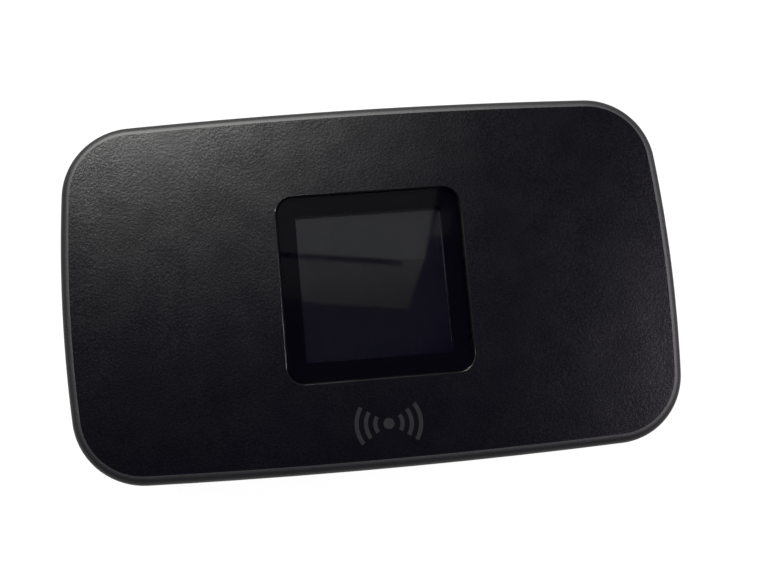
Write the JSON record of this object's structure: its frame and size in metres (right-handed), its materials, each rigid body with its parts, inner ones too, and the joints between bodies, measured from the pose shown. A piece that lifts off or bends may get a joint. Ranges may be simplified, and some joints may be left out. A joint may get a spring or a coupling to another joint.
{
  "type": "mobile hotspot",
  "caption": "Pocket mobile hotspot: rounded black case with a square display window, side keys, micro USB socket, and a battery and SIM card behind a removable back cover",
  "frame": {"origin": "the middle of the flat face that it rests on, at the middle of the case's length and width", "axes": "+X along the case's long side, +Y towards the long side with the two keys, +Z out of the display"},
  "size_m": [0.108, 0.0641, 0.0141],
  "materials": {
    "case_plastic": "finely grained, spark-eroded matte black",
    "window_glass": "clear, polished, with a printed black border",
    "black_tape": "matte black foam tape",
    "lcd_glass": "dark polarised display glass",
    "sheet_steel": "bright tinned sheet",
    "screw_steel": "blackened steel",
    "light_guide": "milky white",
    "flex_film": "amber polyimide film",
    "connector_plastic": "moulded, fine satin",
    "frame_plastic": "moulded, satin black",
    "board_laminate": "green solder mask",
    "chip_epoxy": "moulded epoxy, fine matte",
    "ceramic_parts": "small ceramic parts",
    "gold_contact": "gold plated",
    "copper_foil": "copper foil",
    "key_plastic": "smooth satin black",
    "card_plastic": "white card plastic",
    "battery_wrap": "aluminium can in a dark printed sleeve",
    "battery_plastic": "moulded black"
  },
  "bodies": {
    "housing": {"front_cover": "case_plastic", "display_window": "window_glass", "window_tape": "black_tape", "display_gasket": "black_tape", "lcd_frame": "sheet_steel", "lcd_backlight": "light_guide", "lcd_panel": "lcd_glass", "lcd_flex": "flex_film", "lcd_connector": "connector_plastic", "display_holder": "frame_plastic", "main_board": "board_laminate", "modem_shield": "sheet_steel", "radio_shield": "sheet_steel", "modem_chip": "chip_epoxy", "memory_chip": "chip_epoxy", "radio_chip": "chip_epoxy", "power_chip": "chip_epoxy", "amplifier_chip": "chip_epoxy", "board_passives": "ceramic_parts", "main_antenna_bracket": "frame_plastic", "main_antenna_foil": "copper_foil", "second_antenna_bracket": "frame_plastic", "second_antenna_foil": "copper_foil", "antenna_clips": "gold_contact", "wifi_antenna": "sheet_steel", "usb_shell": "sheet_steel", "usb_tongue": "connector_plastic", "usb_contacts": "gold_contact", "power_switch": "connector_plastic", "menu_switch": "connector_plastic", "chassis": "frame_plastic", "chassis_screws": "screw_steel", "sim_socket_shell": "sheet_steel", "sim_socket_base": "connector_plastic", "reset_switch": "connector_plastic", "battery_connector": "connector_plastic", "battery_springs": "gold_contact"},
    "power_key": {"power_button": "key_plastic", "power_switch_plunger": "connector_plastic"},
    "menu_key": {"menu_button": "key_plastic", "menu_switch_plunger": "connector_plastic"},
    "reset_key": {"reset_plunger": "connector_plastic"},
    "battery": {"battery_cell": "battery_wrap", "battery_cap": "battery_plastic", "battery_terminals": "gold_contact"},
    "sim": {"sim_card": "card_plastic"},
    "rear_lid": {"back_cover": "case_plastic"}
  },
  "joints": [
    {"name": "power_press", "type": "slide", "parent": "housing", "child": "power_key", "axis": [0, -1, 0], "range_m": [0, 0.0003], "stiffness_N_per_m": 1500, "springref_m": -0.0005},
    {"name": "menu_press", "type": "slide", "parent": "housing", "child": "menu_key", "axis": [0, -1, 0], "range_m": [0, 0.0003], "stiffness_N_per_m": 1500, "springref_m": -0.0005},
    {"name": "reset_press", "type": "slide", "parent": "housing", "child": "reset_key", "axis": [0, 0, 1], "range_m": [0, 0.00025], "stiffness_N_per_m": 1500, "springref_m": -0.0005},
    {"name": "battery_lift", "type": "slide", "parent": "housing", "child": "battery", "axis": [0, 0, -1], "range_m": [0, 0.012]},
    {"name": "back_cover_lift", "type": "slide", "parent": "battery", "child": "rear_lid", "axis": [0, 0, -1], "range_m": [0, 0.015]},
    {"name": "sim_slide", "type": "slide", "parent": "housing", "child": "sim", "axis": [1, 0, 0], "range_m": [0, 0.011]}
  ]
}
